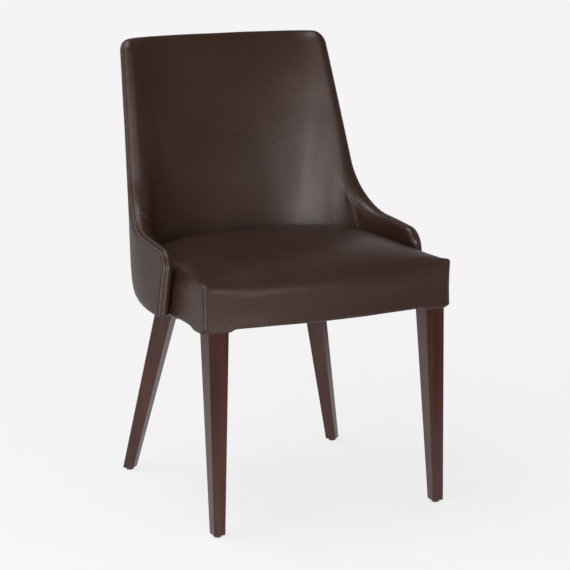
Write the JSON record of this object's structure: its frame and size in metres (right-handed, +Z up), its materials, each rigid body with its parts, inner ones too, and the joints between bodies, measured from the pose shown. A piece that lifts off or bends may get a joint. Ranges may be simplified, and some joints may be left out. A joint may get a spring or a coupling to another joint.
{
  "type": "restaurant chair",
  "caption": "Upholstered dining chair: padded back that wraps round the seat as low scooped wings, crowned seat cushion, square tapered wooden legs, the rear ones splayed.",
  "frame": {"origin": "on the floor, under the middle of the chair", "axes": "+Z up, front towards -Y, +X to the right as seen from the front; the plane X = 0 is the middle of the chair"},
  "size_m": [0.55, 0.542, 0.86],
  "materials": {
    "leather": "dark espresso brown upholstery leather, fine grain, semi-gloss",
    "stained_wood": "solid wood stained dark mahogany, satin lacquer",
    "frame_wood": "planed hardwood, unfinished",
    "plywood": "moulded plywood, unfinished",
    "foam": "upholstery foam, matt",
    "wadding": "polyester wadding",
    "webbing": "elastic upholstery webbing, woven",
    "dark_cloth": "black non-woven cloth",
    "steel": "zinc-plated steel",
    "glide_plastic": "dark brown moulded plastic"
  },
  "bodies": {
    "root": {"back_foam": "foam", "back_shell": "plywood", "corner_block_front_left": "frame_wood", "corner_block_front_right": "frame_wood", "corner_block_rear_left": "frame_wood", "corner_block_rear_right": "frame_wood", "deck_cloth": "dark_cloth", "dust_cover": "dark_cloth", "front_leg_left": "stained_wood", "front_leg_right": "stained_wood", "front_rail": "frame_wood", "glide_front_left": "glide_plastic", "glide_front_right": "glide_plastic", "glide_rear_left": "glide_plastic", "glide_rear_right": "glide_plastic", "inside_back_cover": "leather", "inside_wing_cover_left": "leather", "inside_wing_cover_right": "leather", "leg_bolt_front_left": "steel", "leg_bolt_front_right": "steel", "leg_bolt_rear_left": "steel", "leg_bolt_rear_right": "steel", "leg_insert_front_left": "steel", "leg_insert_front_right": "steel", "leg_tnut_rear_left": "steel", "leg_tnut_rear_right": "steel", "outside_back_cover": "leather", "outside_wadding": "wadding", "rail_bolt_rear_left": "steel", "rail_bolt_rear_right": "steel", "rail_tnut_rear_left": "steel", "rail_tnut_rear_right": "steel", "rear_leg_left": "stained_wood", "rear_leg_right": "stained_wood", "rear_rail": "frame_wood", "seat_cover": "leather", "seat_foam": "foam", "side_rail_left": "frame_wood", "side_rail_right": "frame_wood", "webbing_cross_1": "webbing", "webbing_cross_2": "webbing", "webbing_cross_3": "webbing", "webbing_long_1": "webbing", "webbing_long_2": "webbing", "webbing_long_3": "webbing", "webbing_long_4": "webbing"}
  },
  "joints": []
}
